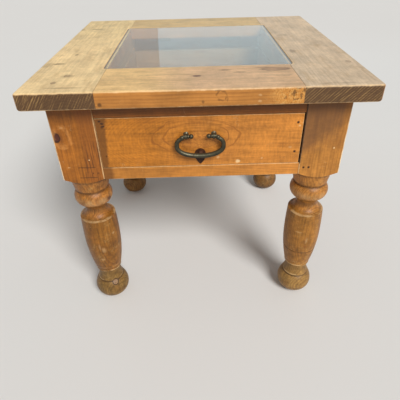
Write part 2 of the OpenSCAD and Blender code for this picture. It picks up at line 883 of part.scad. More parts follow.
// The domed stud that the bail falls against
module striking_stud() {
    dome_h = pivot_out - rod_mid_r - stud_gap - plate_t;
    dome = arc_radius(stud_r, dome_h);
    color(iron) translate([drawer_mid_x, rail_y0, strike_z]) rotate([90, 0, 0]) {
        translate([0, 0, -stud_shank_l]) cylinder(r = stud_shank_r, h = stud_shank_l + plate_t);
        translate([0, 0, plate_t]) intersection() {
            cylinder(r = stud_r + 1, h = dome_h + 1);
            translate([0, 0, dome_h - dome]) sphere(r = dome, $fn = 96);
        }
    }
}

// Middle line of the bail's rod, a rounded loop with squarer shoulders,
// at angle a from straight up
bail_half_h = bail_drop/2;
shoulder_power = 3;
belly_power = 2.1;
rod_x0 = eye_x + eye_t/2 + rod_clear + rod_knuckle_r;
rod_a0 = asin(pow(rod_x0/bail_half_w, shoulder_power/2));

function signed_pow(v, p) = sign(v)*pow(abs(v), p);
function bail_power(a) = cos(a) > 0 ? shoulder_power : belly_power;
function bail_at(a) = [
    bail_half_w*signed_pow(sin(a), 2/bail_power(a)),
    0,
    bail_half_h*signed_pow(cos(a), 2/bail_power(a)) - bail_half_h
];
function rod_r_at(a) = rod_end_r + (rod_mid_r - rod_end_r)*(1 - cos(a))/2;

// Ring of points round the rod at angle a
rod_sides = 16;
function rod_ring(a) =
    let (
        p = bail_at(a),
        q = bail_at(a + 0.5) - bail_at(a - 0.5),
        along = q/norm(q),
        across = [along[2], 0, -along[0]],
        r = rod_r_at(a)
    )
    [for (i = [0 : rod_sides - 1])
        p + r*(cos(i*360/rod_sides)*across + sin(i*360/rod_sides)*[0, 1, 0])];

module bail_rod() {
    steps = 46;
    span = 360 - 2*rod_a0;
    points = [for (k = [0 : steps]) each rod_ring(rod_a0 + span*k/steps)];
    n = rod_sides;
    sides = [for (k = [0 : steps - 1], i = [0 : n - 1]) each [
        [k*n + i, (k + 1)*n + i, k*n + (i + 1)%n],
        [k*n + (i + 1)%n, (k + 1)*n + i, (k + 1)*n + (i + 1)%n]
    ]];
    first_cap = [for (i = [0 : n - 1]) i];
    last_cap = [for (i = [n - 1 : -1 : 0]) steps*n + i];
    polyhedron(points = points, faces = concat(sides, [first_cap, last_cap]), convexity = 6);
}

// Right end of the bail: the shoulder outside the eye, the pin through it,
// and a bead and a knob inside it
module bail_end() {
    eye_out = eye_x + eye_t/2 + eye_play;
    eye_in = eye_x - eye_t/2 - eye_play;
    rod_z = bail_at(rod_a0)[2];
    bead_half = bead_end_r*bead_flat;
    knob_x = eye_in - 2*bead_half - knob_r*knob_seat;
    along_x(knob_x, rod_x0 - 1, pin_r);
    along_x(eye_out, eye_out + pin_collar_t, bead_end_r);
    ball_x(rod_x0, rod_z*knuckle_seat, rod_knuckle_r);
    intersection() {
        along_x(eye_in - 2*bead_half, eye_in, bead_end_r + 1);
        ball_x(eye_in - bead_half, 0, bead_end_r);
    }
    ball_x(knob_x, 0, knob_r);
}

module bail() {
    color(iron) translate([drawer_mid_x, pivot_y, pivot_z]) union() {
        bail_rod();
        both_sides() bail_end();
    }
}

top_left_board();
top_right_board();
top_front_board();
top_back_board();
top_dowels();
glass_panel();
leg_front_left();
leg_front_right();
leg_back_left();
leg_back_right();
apron_left();
apron_right();
apron_back();
drawer_rail_top();
drawer_rail_low();
rail_brads();
kicker_left();
kicker_right();
runner_left();
runner_right();
guide_left();
guide_right();
drawer_stops();
top_screws();
runner_screws();
glue_blocks();
drawer_front();
drawer_side_left();
drawer_side_right();
drawer_back();
drawer_bottom();
drawer_brads();
eye_post_left();
eye_post_right();
eye_washers();
eye_nuts();
striking_plate();
striking_stud();
bail();
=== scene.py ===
"""Finishes for a square pine side table with a glass panel, one drawer and a forged handle.

Run as a script, it gives every piece of the table its wood, iron or glass and sets up a plain
studio.
"""

import math
from types import SimpleNamespace

import bpy
from bpy.props import FloatProperty, FloatVectorProperty, PointerProperty
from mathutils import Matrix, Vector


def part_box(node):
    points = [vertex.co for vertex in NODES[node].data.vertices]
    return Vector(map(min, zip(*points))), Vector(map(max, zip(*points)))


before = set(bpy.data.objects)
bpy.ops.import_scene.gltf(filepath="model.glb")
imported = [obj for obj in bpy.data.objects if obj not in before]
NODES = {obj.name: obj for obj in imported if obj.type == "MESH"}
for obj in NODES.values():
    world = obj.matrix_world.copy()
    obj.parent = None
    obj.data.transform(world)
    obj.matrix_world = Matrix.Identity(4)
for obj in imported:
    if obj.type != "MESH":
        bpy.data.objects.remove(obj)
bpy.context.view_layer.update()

bl_info = {
    "name": "Pine side table",
    "version": (1, 0, 0),
    "blender": (4, 5, 0),
    "location": "3D View > Sidebar > Side table",
    "description": "Gives a pine side table its finishes and a plain studio",
    "category": "Object",
}

MM = 1000.0
OTHER_AXIS = {"xy": "z", "xz": "y", "yx": "z", "yz": "x", "zx": "y", "zy": "x"}

# Places on the table in millimetres, seen from the front
TOP_Z = 600.0
EDGE_Y = -336.5  # front edge of the top
POST_Y = -306.5  # front face of the front posts
DRAWER_Y = -305.0  # front face of the drawer
BOARD_JOINT = 192.5  # where the side boards end, from the middle
GLASS_X, GLASS_FRONT, GLASS_BACK = 200.5, -195.5, 211.5  # recess round the glass
SQUARE_Z, ROUND_Z = 392.0, 384.0  # a leg is square above the first, round below the second
SCRIBED_Z = 158.0  # line cut round the right front leg
RAIL_BRADS = (220.0, 231.0), 413.0  # from the middle, and their height
DRAWER_BRADS = 196.2, (452.0, 517.0)  # from the middle, and their heights


def linear(red, green, blue):
    """An sRGB colour of 0 to 255 as linear red, green and blue."""

    def one(value):
        value /= 255
        return value / 12.92 if value <= 0.04045 else ((value + 0.055) / 1.055) ** 2.4

    return (one(red), one(green), one(blue))


def box_mm(node):
    """The two corners of a CAD node in millimetres."""
    low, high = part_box(node)
    return [c * MM for c in low], [c * MM for c in high]


# Shader maths


class Field:
    """A value that changes over a surface. Sums on it add Math nodes to its material."""

    def __init__(self, paint, socket):
        self.paint = paint
        self.socket = socket

    def _math(self, operation, first, second=0.0):
        """One Math node on two values."""
        return self.paint.node("ShaderNodeMath", {"operation": operation}, {0: first, 1: second})

    def __add__(self, other):
        return self._math("ADD", self, other)

    def __sub__(self, other):
        return self._math("SUBTRACT", self, other)

    def __rsub__(self, other):
        return self._math("SUBTRACT", other, self)

    def __mul__(self, other):
        return self._math("MULTIPLY", self, other)

    def __truediv__(self, other):
        return self._math("DIVIDE", self, other)

    def __abs__(self):
        return self._math("ABSOLUTE", self)

    def fraction(self):
        return self._math("FRACT", self)

    def sine(self):
        return self._math("SINE", self)

    def least(self, other):
        return self._math("MINIMUM", self, other)

    def most(self, other):
        return self._math("MAXIMUM", self, other)

    def step(self, start, end):
        """0 at start and 1 at end, smooth between them."""
        return self.paint.node(
            "ShaderNodeMapRange",
            {"interpolation_type": "SMOOTHSTEP"},
            {"Value": self, "From Min": start, "From Max": end},
        )


class Paint:
    """One material: where a point is on the object, and the colour, gloss and relief there."""

    def __init__(self, name, seed=0.0):
        self.material = bpy.data.materials.new(name)
        self.material.use_nodes = True
        self.tree = self.material.node_tree
        self.tree.nodes.clear()
        self.seed = seed
        self.known = {}
        here = self.node("ShaderNodeTexCoord", output="Object")
        self.point = self.node(
            "ShaderNodeVectorMath", {"operation": "SCALE"}, {0: here, "Scale": MM}
        )
        self.x, self.y, self.z = self.parts(self.point)
        self.place = {"x": self.x, "y": self.y, "z": self.z}
        facing = self.node("ShaderNodeTexCoord", output="Normal")
        self.facing = dict(zip("xyz", self.parts(facing)))

    def node(self, kind, settings=None, inputs=None, output=0):
        """Adds a node: its settings first, then the values or links of its sockets."""
        made = self.tree.nodes.new(kind)
        for key, value in (settings or {}).items():
            setattr(made, key, value)
        for key, value in (inputs or {}).items():
            if isinstance(value, Field):
                self.tree.links.new(value.socket, made.inputs[key])
            elif isinstance(value, tuple) and made.inputs[key].type == "RGBA":
                made.inputs[key].default_value = (*value, 1.0)
            else:
                made.inputs[key].default_value = value
        if isinstance(output, tuple):
            return [Field(self, made.outputs[o]) for o in output]
        return Field(self, made.outputs[output]) if len(made.outputs) else None

    def parts(self, vector):
        """The three parts of a vector."""
        return self.node("ShaderNodeSeparateXYZ", inputs={0: vector}, output=("X", "Y", "Z"))

    def vector_math(self, operation, first, second=(0.0, 0.0, 0.0), third=(0.0, 0.0, 0.0)):
        """One Vector Math node; only MULTIPLY_ADD takes the third vector."""
        inputs = {0: first, 1: second}
        if operation == "MULTIPLY_ADD":
            inputs[2] = third
        return self.node("ShaderNodeVectorMath", {"operation": operation}, inputs)

    def length(self, x, y, z=0.0):
        """The length of a vector that is given by its parts."""
        at = self.node("ShaderNodeCombineXYZ", inputs={0: x, 1: y, 2: z})
        return self.node("ShaderNodeVectorMath", {"operation": "LENGTH"}, {0: at}, "Value")

    def reach(self, centre, radii):
        """How far a point is from a centre, counted in radii."""
        scale = tuple(1.0 / r for r in radii)
        shift = tuple(-c / r for c, r in zip(centre, radii))
        at = self.vector_math("MULTIPLY_ADD", self.point, scale, shift)
        return self.node("ShaderNodeVectorMath", {"operation": "LENGTH"}, {0: at}, "Value")

    def noise_at(self, at, detail, roughness):
        """Noise from -1 to 1 at a place."""
        made = self.node(
            "ShaderNodeTexNoise",
            inputs={"Vector": at, "Scale": 1.0, "Detail": detail, "Roughness": roughness},
        )
        return self.node(
            "ShaderNodeMath", {"operation": "MULTIPLY_ADD"}, {0: made, 1: 2.0, 2: -1.0}
        )

    def noise(self, x, y, z, detail=2.0, roughness=0.5):
        """Noise from -1 to 1 whose lumps are about one unit across."""
        at = self.node("ShaderNodeCombineXYZ", inputs={0: x, 1: y, 2: z})
        return self.noise_at(at, detail, roughness)

    def stretched(self, sizes, detail=2.0, roughness=0.5):
        """Noise from -1 to 1 whose lumps have those sizes in millimetres along x, y and z."""
        key = (sizes, detail, roughness)
        if key not in self.known:
            scale = tuple(1.0 / size for size in sizes)
            shift = (self.seed, self.seed, 0.0)
            at = self.vector_math("MULTIPLY_ADD", self.point, scale, shift)
            self.known[key] = self.noise_at(at, detail, roughness)
        return self.known[key]

    def lumps(self, size, detail=2.0, roughness=0.5):
        """Noise from -1 to 1 whose lumps are about that many millimetres across."""
        return self.stretched((size, size, size), detail, roughness)

    def blend(self, amount, first, second, mode="MIX"):
        """Two colours mixed by an amount."""
        return self.node(
            "ShaderNodeMix",
            {"data_type": "RGBA", "blend_type": mode, "clamp_factor": True},
            {0: amount, 6: first, 7: second},
            2,
        )

    def brighten(self, colour, amount):
        """A colour times an amount."""
        return self.node(
            "ShaderNodeVectorMath", {"operation": "SCALE"}, {0: colour, "Scale": amount}
        )

    def spot(self, centre, radii, soft, ragged, lump):
        """1 inside a ragged ellipsoid round a point, and 0 outside it."""
        far = self.reach(centre, radii) + self.lumps(lump, 3.0) * ragged
        return far.step(1.0 + soft, 1.0 - soft)

    def marks(self, colour, tint, places, soft=0.5, ragged=0.5, lump=5.0, within=None):
        """Ragged spots of a tint: for each its centre, its radii and its strength."""
        for centre, radii, amount in places:
            spot = self.spot(centre, radii, soft, ragged, lump)
            if within is not None:
                spot = spot * within
            colour = self.blend(spot * amount, colour, tint)
        return colour

    def arris(self, low, high, width):
        """1 along the edges of a box, and 0 further from them than the width."""
        middle = tuple((b + a) / 2 for a, b in zip(low, high))
        half = tuple((b - a) / 2 for a, b in zip(low, high))
        off = self.vector_math("ABSOLUTE", self.vector_math("SUBTRACT", self.point, middle))
        a, b, c = self.parts(self.vector_math("SUBTRACT", half, off))
        inner = a.least(b).most(a.most(b).least(c))
        inner = inner + self.lumps(9.0, 3.0) * (0.55 * width)
        return inner.step(width, 0.15 * width)

    def finish(self, colour, roughness, relief=None, **others):
        """Joins the surface up. Relief is in millimetres."""
        inputs = {"Base Color": colour, "Roughness": roughness, "Specular IOR Level": 0.3}
        inputs.update(others)
        if relief is not None:
            inputs["Normal"] = self.node(
                "ShaderNodeBump", inputs={"Height": relief, "Strength": 1.0, "Distance": 1.0 / MM}
            )
        surface = self.node("ShaderNodeBsdfPrincipled", inputs=inputs)
        self.node("ShaderNodeOutputMaterial", inputs={"Surface": surface})
        return self.material


class Timber(Paint):
    """Old pine with its own rings, figure, knots and wear.

    The grain runs along one axis and the heart of the log is given on the other two, face first.
    Ring is the width of a year, and wobble is how far the rings sway. A knot is its place on
    the three axes, its radius, its stretch along the grain and to the side, and its darkness.
    Bend is where the rings arch, and the radius there. Lengths are in millimetres.
    """

    def __init__(self, name, along, face, heart, seed, ring, wobble, knots=(), bend=None,
                 curly=0.2, lined=1.0):
        super().__init__(name, seed)
        self.curly, self.lined = curly, lined
        third = OTHER_AXIS[along + face]
        self.along = along
        u, v, w = self.place[along], self.place[face], self.place[third]
        self.end = abs(self.facing[along]).step(0.55, 0.9)
        self.knot_marks = []
        across = v
        for spot_u, spot_v, spot_w, radius, stretch, deep, dark in knots:
            centre = {along: spot_u, face: spot_v, third: spot_w}
            radii = {along: stretch, face: 1.0, third: deep}
            far = self.reach([centre[k] for k in "xyz"], [radii[k] for k in "xyz"])
            far = far + self.lumps(6.0, 3.0) * (0.24 * radius)
            pull = (v - spot_v) * (radius * radius) / (far * far + 0.25 * radius * radius)
            across = across - pull
            self.knot_marks.append((far, radius, dark))
        sway = self.drawn(220.0, 62.0) * wobble + self.drawn(50.0, 14.0) * (0.22 * wobble)
        depth = self.length(across - heart[0] + sway, w - heart[1] + sway * 0.6)
        if bend:
            off = u - bend[0]
            depth = depth + off * off * (0.5 / bend[1])
        phase = depth * (1.0 / ring)
        phase = phase + self.noise(depth * (0.35 / ring), seed, 7.7) * 0.9
        tooth = phase.fraction()
        year = self.noise(phase * 0.8, seed, 1.9, 1.0)
        self.late = tooth.step(0.3, 0.9) * tooth.step(1.0, 0.93) * (year * 0.6 + 0.65)
        self.strength = self.drawn(125.0, 40.0, 3.0) * 0.7 + 0.6
        self.fibre = self.drawn(25.0, 1.2, 3.0, 0.6)
        self.streak = self.drawn(143.0, 8.3, 4.0, 0.6)
        self.grain = self.drawn(60.0, 3.4, 3.0, 0.65)
        self.curl = self.drawn(4.5, 14.0, 3.0)
        self.cloud = self.lumps(60.0, 5.0, 0.6)

    def drawn(self, along, across, detail=2.0, roughness=0.5):
        """Noise from -1 to 1 drawn out along the grain, with its sizes in millimetres."""
        sizes = tuple(along if axis == self.along else across for axis in "xyz")
        return self.stretched(sizes, detail, roughness)

    def wood(self, early, late, contrast, tint=None):
        """The clear wood: rings, fibres and slow changes of tone."""
        colour = self.blend(self.late * self.strength * contrast, early, late)
        shade = (self.fibre * 0.25 + self.grain * 0.3 + self.streak * 0.35) * self.lined
        shade = shade + self.cloud * 0.45 + self.curl * self.curly
        colour = self.brighten(colour, shade + 1.0)
        return self.tinted(colour, tint) if tint is not None else colour

    def tinted(self, colour, tint):
        """A colour seen through a tint."""
        return self.blend(1.0, colour, tint, "MULTIPLY")

    def patina(self, colour, dirt, amount):
        """Old wax and dirt, in patches and in short flecks along the grain."""
        patch = self.drawn(71.0, 25.0, 5.0, 0.65).step(-0.05, 0.6)
        fleck = self.drawn(10.0, 1.4).step(0.34, 0.62)
        return self.blend(patch.most(fleck) * amount, colour, dirt)

    def scuffs(self, colour, light, amount):
        """Fine scratches and chips that show lighter wood."""
        line = abs(self.lumps(50.0, 3.0, 0.45)).step(0.011, 0.003)
        line = line * self.lumps(28.0, 1.0).step(0.12, 0.45) * 0.5
        chip = self.lumps(4.5, 2.0).step(0.62, 0.74)
        return self.blend(line.most(chip) * amount, colour, light)

    def add_knots(self, colour, core, rim):
        """The knots that the rings already bend round."""
        for far, radius, dark in self.knot_marks:
            rings = (far * (3.0 / radius) + self.lumps(3.0) * 0.35).fraction().step(0.2, 0.9)
            inside = self.blend(rings * 0.5, core, rim)
            colour = self.blend(far.step(2.6 * radius, radius) * 0.3 * dark, colour, core)
            colour = self.blend(far.step(1.12 * radius, 0.9 * radius) * dark, colour, inside)
            edge = abs(far - radius).step(0.26 * radius, 0.04 * radius)
            colour = self.blend(edge * 0.8 * dark, colour, rim)
        return colour

    def brad_holes(self, colour, dark, x, y, z, radius):
        """Dark rims of two brad holes, the left one half filled with wax."""
        for side, amount in ((-x, 0.3), (x, 0.85)):
            hole = self.reach((side, y, z), (radius, 9.0, radius)).step(1.1, 0.6)
            colour = self.blend(hole * amount, colour, dark)
        return colour

    def relief(self, raised, rough):
        """Height of the late wood, the fibres and the dents, in millimetres."""
        return self.late * self.strength * raised + self.fibre * rough + self.dents()

    def dents(self):
        """Shallow knocks here and there."""
        deep = self.lumps(16.0, 1.0).step(0.42, 0.75) * -0.5
        return deep + self.lumps(60.0, 2.0) * 0.35


def cover(material, *names):
    """Puts a material in the slots of CAD nodes."""
    for name in names:
        piece = NODES[name]
        if not piece.material_slots:
            piece.data.materials.append(material)
        for slot in piece.material_slots:
            slot.material = material


# What a user would change


def colour_choice(name, description, red, green, blue):
    return FloatVectorProperty(
        name=name, description=description, subtype="COLOR", size=3, min=0.0, max=1.0,
        default=linear(red, green, blue),
    )


class TableFinish(bpy.types.PropertyGroup):
    """Colours of the table's finishes."""

    top_early: colour_choice("Top, early wood", "Bleached wood of the top", 226, 196, 144)
    top_late: colour_choice("Top, late wood", "Darker lines of the top", 186, 150, 100)
    frame_early: colour_choice("Frame, early wood", "Waxed wood of the frame", 202, 132, 52)
    frame_late: colour_choice("Frame, late wood", "Darker lines of the frame", 122, 68, 24)
    raw_early: colour_choice("Inside, early wood", "Unwaxed wood inside", 158, 118, 72)
    raw_late: colour_choice("Inside, late wood", "Darker lines inside", 112, 76, 44)
    end_dark: colour_choice("End grain", "Soiled end grain of the top", 92, 66, 42)
    end_light: colour_choice("End grain, saw marks", "Light saw marks", 168, 132, 80)
    worn: colour_choice("Worn edges", "Wood bared along the edges", 240, 204, 150)
    # Dirt, and also painted shade: the top's shadow on the posts and upper rail, and under the leg
    # blocks.
    dirt_and_shade: colour_choice("Grime", "Old wax and dirt in the hollows", 66, 42, 22)
    red_wood: colour_choice("Red wood", "Resin-rich wood and old stain", 132, 74, 30)
    knot_core: colour_choice("Knots", "Middle of the knots", 90, 46, 30)
    knot_rim: colour_choice("Knots, rim", "Dark rim of the knots", 46, 26, 18)
    iron: colour_choice("Iron", "Forged handle", 80, 76, 58)
    rust: colour_choice("Rust", "Browned parts of the iron", 92, 54, 32)


class StudioSetting(bpy.types.PropertyGroup):
    """The camera and the lamps."""

    lens: FloatProperty(
        name="Lens", description="Focal length of the camera", default=34.31, min=10.0,
        unit="CAMERA",
    )
    key: FloatProperty(
        name="Key light", description="Strength of the main lamp", default=3.0, min=0.0
    )
    fill: FloatProperty(
        name="Fill light", description="Strength of the light all round", default=0.3, min=0.0
    )
    panel: FloatProperty(
        name="Back panel", description="Strength of the panel that the glass mirrors",
        default=2.2, min=0.0, unit="POWER",
    )
    floor: colour_choice("Floor", "Colour of the floor", 224, 222, 218)


# The pieces


class PieceOperator:
    """What the pieces' operators share: each makes its finishes from the chosen colours."""

    bl_options = {"REGISTER", "UNDO"}

    def execute(self, context):
        chosen = context.scene.table_finish
        tones = {key: tuple(getattr(chosen, key)) for key in TableFinish.__annotations__}
        self.make(SimpleNamespace(**tones))
        return {"FINISHED"}


class TABLE_OT_top_boards(PieceOperator, bpy.types.Operator):
    """Bleached boards of the top, orange on their edges, with soiled and saw-marked ends"""

    bl_idname = "table.top_boards"
    bl_label = "Top boards"

    def make(self, tone):
        outer = box_mm("top_left_board")[0], box_mm("top_right_board")[1]
        left = Timber(
            "pine_top_left", "y", "x", (-250.0, 520.0), 11.0, ring=4.6, wobble=7.0, curly=0.08,
            lined=0.6,
            knots=((-78.0, -283.0, TOP_Z, 3.5, 1.3, 3.0, 0.5),
                   (-279.0, -280.0, TOP_Z, 4.5, 1.3, 3.0, 0.45),
                   (-237.0, -264.0, TOP_Z, 5.5, 1.4, 3.0, 0.35)),
        )
        behind = (left.y + left.lumps(60.0) * 60.0).step(-80.0, 260.0)
        tint = left.blend(behind, (1.1, 1.11, 1.12), (0.97, 1.0, 0.98))
        self.board("top_left_board", left, tone, outer, tint, (
            ((-334.0, 201.0, 599.0), (8.0, 4.5, 4.0), 0.8),
            ((-290.0, 204.0, TOP_Z), (19.0, 3.5, 4.0), 0.7),
            ((-305.0, -150.0, TOP_Z), (12.0, 4.5, 4.0), 0.7),
            ((-328.0, -158.0, TOP_Z), (12.0, 16.0, 4.0), 0.3),
            ((-250.0, -310.0, TOP_Z), (32.0, 3.5, 4.0), 0.4),
            ((-262.0, -240.0, TOP_Z), (14.0, 7.0, 4.0), 0.25),
        ), (57.0, 0.5, 0.12))
        right = Timber(
            "pine_top_right", "y", "x", (300.0, 500.0), 23.0, ring=4.2, wobble=9.0, curly=0.14,
            lined=0.7,
            knots=((-188.0, 318.0, TOP_Z, 5.0, 1.5, 3.0, 0.3),),
        )
        # The board's bluish grey tint is partly its own greyer tone and partly painted cool sheen.
        self.board("top_right_board", right, tone, outer, (0.8, 0.83, 1.08), (
            ((220.0, -94.0, TOP_Z), (7.0, 14.0, 4.0), 0.45),
            ((258.0, -322.0, TOP_Z), (45.0, 4.0, 4.0), 0.2),
            ((231.0, 70.0, TOP_Z), (14.0, 9.0, 4.0), 0.25),
        ), (45.0, 0.42, 0.24))
        front = Timber(
            "pine_top_front", "x", "y", (-262.0, 505.0), 5.0, ring=4.6, wobble=8.0, curly=0.08,
            lined=0.7,
            knots=((-4.0, -259.0, TOP_Z, 4.0, 1.8, 3.0, 0.8),
                   (157.0, -226.0, TOP_Z, 11.0, 2.6, 2.0, 0.35)),
        )
        warm = (front.x + front.lumps(60.0) * 30.0).step(-130.0, 10.0)
        tint = front.blend(warm, (1.03, 0.94, 0.81), (0.85, 0.75, 0.82))
        self.board("top_front_board", front, tone, outer, tint, (
            ((54.0, -225.0, TOP_Z), (11.0, 4.0, 4.0), 0.55),
            ((83.0, -241.0, TOP_Z), (12.0, 4.0, 4.0), 0.4),
            ((132.0, -213.0, TOP_Z), (15.0, 3.0, 4.0), 0.4),
            ((172.0, -228.0, TOP_Z), (15.0, 3.5, 4.0), 0.5),
            ((168.0, -268.0, TOP_Z), (18.0, 8.0, 4.0), 0.2),
            ((-184.0, EDGE_Y, 576.0), (3.6, 4.0, 4.2), 0.75),
            ((6.0, EDGE_Y, 576.0), (2.5, 3.0, 3.0), 0.5),
        ))
        back = Timber("pine_top_back", "x", "y", (270.0, 515.0), 31.0, ring=4.2, wobble=7.0,
                      curly=0.1, lined=0.7)
        self.board("top_back_board", back, tone, outer, (0.79, 0.77, 0.72), (
            ((50.0, 300.0, TOP_Z), (14.0, 5.0, 4.0), 0.4),
        ))

    def board(self, name, wood, tone, outer, tint, stains, sawn=None):
        """Waxed edges, a bleached face, stains, and sawn ends where their marks are given."""
        waxed = wood.wood(tone.frame_early, tone.frame_late, 0.6, (0.8, 0.84, 1.15))
        waxed = wood.patina(waxed, tone.red_wood, 0.3)
        line = wood.drawn(80.0, 1.6).step(0.42, 0.6)
        waxed = wood.blend(line * 0.3, waxed, tone.worn)
        pale = wood.wood(tone.top_early, tone.top_late, 0.55, tint)
        pale = wood.patina(pale, tone.end_light, 0.5)
        pale = wood.brighten(pale, wood.lumps(8.0, 5.0, 0.7) * 0.24 + 1.0)
        dent = wood.drawn(9.0, 4.0, 3.0).step(0.36, 0.6)
        pale = wood.blend(dent * 0.3, pale, tone.end_dark)
        upper = wood.facing["z"].step(0.35, 0.9)
        colour = wood.blend(upper, waxed, pale)
        colour = wood.add_knots(colour, tone.knot_core, tone.knot_rim)
        colour = wood.scuffs(colour, tone.worn, 0.3)
        if name == "top_front_board":
            colour = self.front_marks(wood, tone, colour)
        if sawn is not None:
            colour = wood.blend(wood.end, colour, self.sawn_end(wood, tone, *sawn))
        edge = wood.arris(*outer, 3.4)
        colour = wood.blend(edge * 0.75, colour, tone.worn)
        rim = (abs(wood.x) - GLASS_X).most(GLASS_FRONT - wood.y).most(wood.y - GLASS_BACK)
        worn_rim = (rim + wood.lumps(9.0) * 1.2).step(3.2, 0.6) * wood.z.step(597.5, 599.0)
        colour = wood.blend(worn_rim * 0.5, colour, tone.worn)
        joint = abs(abs(wood.x) - BOARD_JOINT + wood.lumps(20.0) * 0.2).step(1.5, 0.3)
        joint = joint * wood.lumps(45.0, 2.0).step(-0.5, 0.4)
        colour = wood.blend(joint * 0.4, colour, tone.dirt_and_shade)
        gap = rim.step(1.2, 0.2) * rim.step(-4.0, -2.5)
        colour = wood.blend(wood.z.step(599.2, 597.6) * gap * 0.8, colour, tone.dirt_and_shade)
        colour = wood.marks(colour, tone.dirt_and_shade, stains, ragged=0.6, lump=6.0)
        rough = wood.cloud * 0.08 + wood.late * -0.05 + 0.52
        cover(wood.finish(colour, rough, wood.relief(0.08, 0.06)), name)

    def sawn_end(self, wood, tone, slant, fine, regular):
        """Dark end grain crossed by saw marks: their slant, how fine and how regular they are."""
        angle = math.radians(slant)
        across = wood.x * math.sin(angle) - wood.z * math.cos(angle)
        along = wood.x * math.cos(angle) + wood.z * math.sin(angle)
        stroke = wood.noise(across * fine, along * 0.03, wood.y * 0.01, 4.0, 0.65)
        ripple = (across * 1.35 + wood.lumps(30.0, 2.0) * 2.5).sine()
        marks = (stroke + ripple * regular).step(-0.02, 0.42)
        bright = wood.x.step(-270.0, -335.0) * 0.5 + wood.lumps(26.0, 3.0) * 0.4 + 0.5
        ends = wood.blend(marks * bright, tone.end_dark, tone.end_light)
        ends = wood.blend(wood.late * 0.4, ends, tone.dirt_and_shade)
        ends = wood.brighten(ends, wood.cloud * 0.3 + wood.lumps(3.0, 3.0) * 0.2 + 1.0)
        return wood.scuffs(ends, tone.worn, 0.3)

    def front_marks(self, wood, tone, colour):
        """The burl near the right end of the front edge, and the scrawled marks left of it."""
        front = wood.facing["y"].step(-0.5, -0.8)
        burl = wood.spot((168.0, EDGE_Y, 586.0), (34.0, 14.0, 26.0), 0.45, 0.4, 16.0) * front
        curl = wood.stretched((2.0, 9.0, 4.5), 3.0).step(-0.3, 0.45)
        glow = wood.blend(curl, tone.frame_early, linear(234, 184, 108))
        colour = wood.blend(burl * 0.6, colour, glow)
        pores = wood.lumps(2.8, 2.0).step(0.2, 0.42) * burl
        colour = wood.blend(pores * 0.7, colour, tone.dirt_and_shade)
        colour = wood.marks(colour, tone.dirt_and_shade, (
            ((33.0, EDGE_Y, 597.0), (6.0, 4.0, 1.5), 0.45),
            ((51.0, EDGE_Y, 581.0), (1.5, 4.0, 5.0), 0.35),
            ((172.0, EDGE_Y, 589.0), (4.0, 6.0, 5.0), 0.7),
            ((180.0, EDGE_Y, 598.0), (4.0, 5.0, 2.0), 0.7),
            ((186.0, EDGE_Y, 583.0), (2.0, 5.0, 6.0), 0.65),
            ((177.0, EDGE_Y, 577.0), (5.0, 5.0, 1.6), 0.6),
            ((190.0, EDGE_Y, 594.0), (2.0, 5.0, 4.0), 0.7),
            ((158.0, EDGE_Y, 581.0), (2.5, 5.0, 2.0), 0.5),
        ), ragged=1.7, lump=3.0, within=front)
        ring = wood.reach((40.0, EDGE_Y, 587.0), (9.5, 40.0, 8.5)) + wood.lumps(8.0, 3.0) * 0.3
        ring = abs(ring - 1.0).step(0.26, 0.1) * wood.lumps(7.0, 3.0).step(-0.3, 0.15) * front
        colour = wood.blend(ring * 0.5, colour, tone.dirt_and_shade)
        return wood.marks(colour, tone.worn, (
            ((110.0, EDGE_Y, 587.0), (3.0, 4.0, 2.0), 0.28),
            ((111.0, EDGE_Y, 575.0), (3.0, 4.0, 2.0), 0.28),
        ), ragged=1.0)


